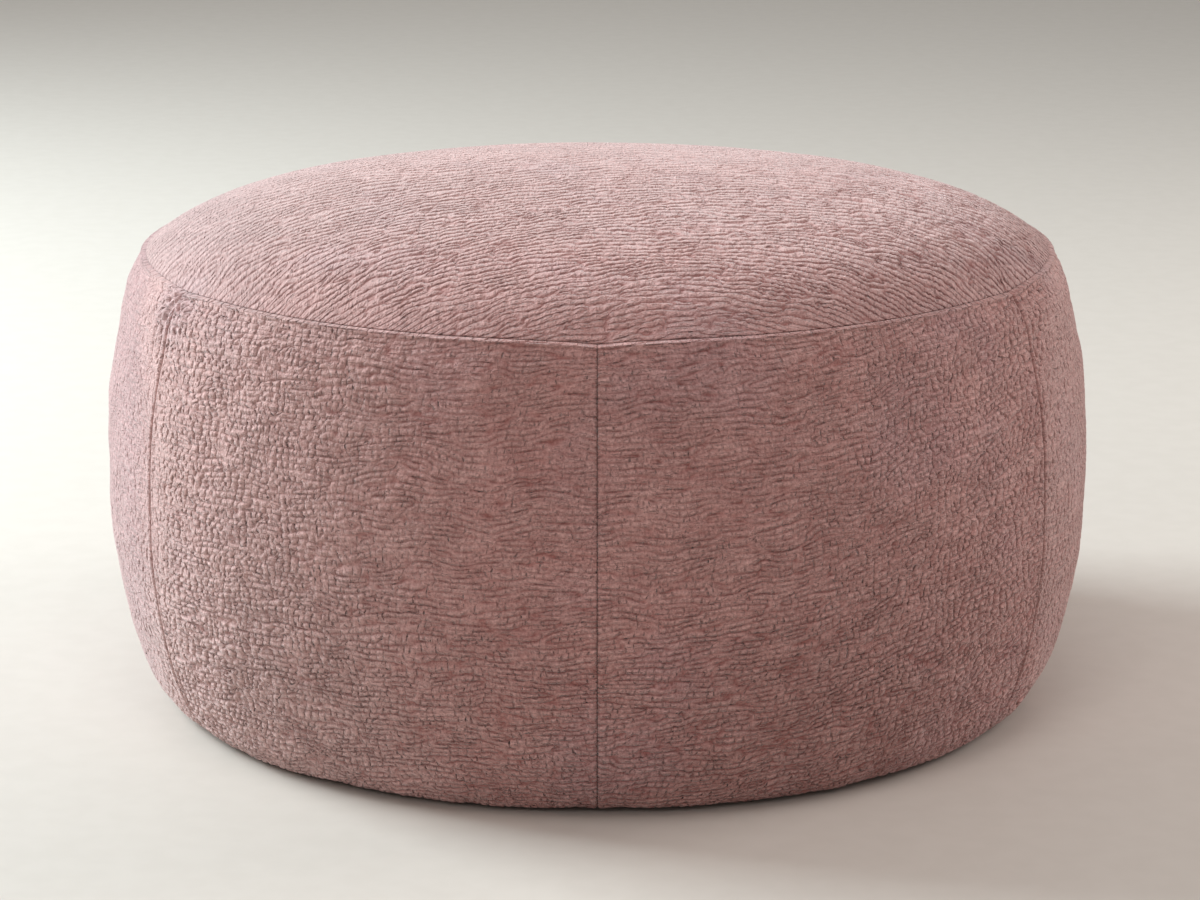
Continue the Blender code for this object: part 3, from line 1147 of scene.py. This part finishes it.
def wovenBase():
    bench = NodeBench("wovenBaseCloth")
    place = bench.objectPlace()
    split = bench.tree.nodes.new("ShaderNodeSeparateXYZ")
    bench.wire(place, split.inputs[0])
    warp = bench.math("SINE", bench.math("MULTIPLY", split.outputs[0], baseCloth["threads"]))
    weft = bench.math("SINE", bench.math("MULTIPLY", split.outputs[1], baseCloth["threads"]))
    weave = bench.math("MULTIPLY", warp, weft)
    colour = bench.mix(bench.ramp(weave, -1, 1), baseCloth["deep"], baseCloth["light"])
    colour = bench.brighten(colour, bench.ramp(bench.noise(place, 25, 3), 0.3, 0.7, 0.88, 1.1))
    bench.wire(colour, bench.shader.inputs["Base Color"])
    bench.wire(bench.bump(weave, baseCloth["weaveRelief"], 0.5), bench.shader.inputs["Normal"])
    bench.give("Roughness", baseCloth["roughness"])
    bench.give("Sheen Weight", baseCloth["sheen"])
    return bench.material


def dress(piece, cloth):
    piece.data.materials.clear()
    piece.data.materials.append(cloth)


# the pieces, one after the other
pink = crinkleChenille()
pattern = roughSidePanel()
padOut(pattern, borderPoints(pattern.data), sidePanel["spare"])
print("side panel pattern cut and padded")
for number in range(1, drum["panels"] + 1):
    panel = finishSidePanel(pattern, number)
    dress(panel, pink)
    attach(panel, "root")
    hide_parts(f"side_panel_{number}")
    print("side panel", number, "sewn,", len(panel.data.polygons), "faces")
bpy.data.objects.remove(pattern, do_unlink=True)

top = roughTopPanel()
padOut(top, borderPoints(top.data), topPanel["spare"])
finishTopPanel(top)
dress(top, pink)
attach(top, "root")
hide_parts("top_panel")
print("top panel sewn,", len(top.data.polygons), "faces")

base = makeBasePanel()
dress(base, wovenBase())
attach(base, "root")
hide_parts("base_panel")
print("base panel sewn")


studio = {
    "cameraPlace": (0.0020, -2.9562, 0.9462),
    "cameraPitch": 75.627,
    "lens": 111.2,
    "floorSize": 40,
    "floorHeight": -0.0002,  # a hair below the base
    "floorPale": (0.63, 0.575, 0.52, 1),
    "floorDeep": (0.615, 0.56, 0.505, 1),
    "floorRoughness": 0.6,
    "skyColour": (1.0, 0.98, 0.96, 1),
    "skyStrength": 0.40,
}

# name, place, height aimed at, side of the square, watts and colour
softLights = (
    ("windowLight", (-3.0, 1.3, 1.9), 0.25, 1.7, 225, (0.86, 1.0, 1.05)),
    ("sideLight", (2.8, 0.8, 1.5), 0.2, 1.4, 40, (1.0, 0.95, 0.93)),
    ("overLight", (0, -1.3, 3.2), 0.2, 1.2, 18, (1.0, 0.95, 0.94)),
    ("frontFill", (-1.6, -3.2, 2.2), 0.2, 1.2, 14, (1.0, 0.95, 0.94)),
)


def makeFloor():
    deselectAll()
    bpy.ops.mesh.primitive_plane_add(size=studio["floorSize"], location=(0, 0, studio["floorHeight"]))
    floor = bpy.context.object
    floor.name = "floor"
    bpy.ops.object.transform_apply(location=True, rotation=True, scale=True)
    bench = NodeBench("paleFloor")
    place = bench.objectPlace()
    tone = bench.ramp(bench.noise(place, 40, 2), 0.3, 0.7)
    colour = bench.mix(tone, studio["floorDeep"], studio["floorPale"])
    bench.wire(colour, bench.shader.inputs["Base Color"])
    bench.give("Roughness", studio["floorRoughness"])
    dress(floor, bench.material)


def hangLight(name, place, aimHeight, size, power, colour):
    deselectAll()
    bpy.ops.object.light_add(type="AREA", location=place)
    light = bpy.context.object
    light.name = name
    light.data.shape = "RECTANGLE"
    light.data.size = size
    light.data.size_y = size
    light.data.energy = power
    light.data.color = colour
    aim = Vector((0, 0, aimHeight)) - Vector(place)
    light.rotation_euler = aim.to_track_quat("-Z", "Y").to_euler()


makeFloor()
for lightLook in softLights:
    hangLight(*lightLook)
sky = bpy.data.worlds.new("paleRoom")
bpy.context.scene.world = sky
sky.use_nodes = True
glow = sky.node_tree.nodes["Background"]
glow.inputs["Color"].default_value = studio["skyColour"]
glow.inputs["Strength"].default_value = studio["skyStrength"]
bpy.context.scene.view_settings.view_transform = "Standard"

deselectAll()
bpy.ops.object.camera_add(
    location=studio["cameraPlace"], rotation=(math.radians(studio["cameraPitch"]), 0, 0))
camera = bpy.context.object
camera.data.lens = studio["lens"]
camera.data.sensor_width = 36
camera.data.clip_end = 100
bpy.context.scene.camera = camera
print("studio set up")
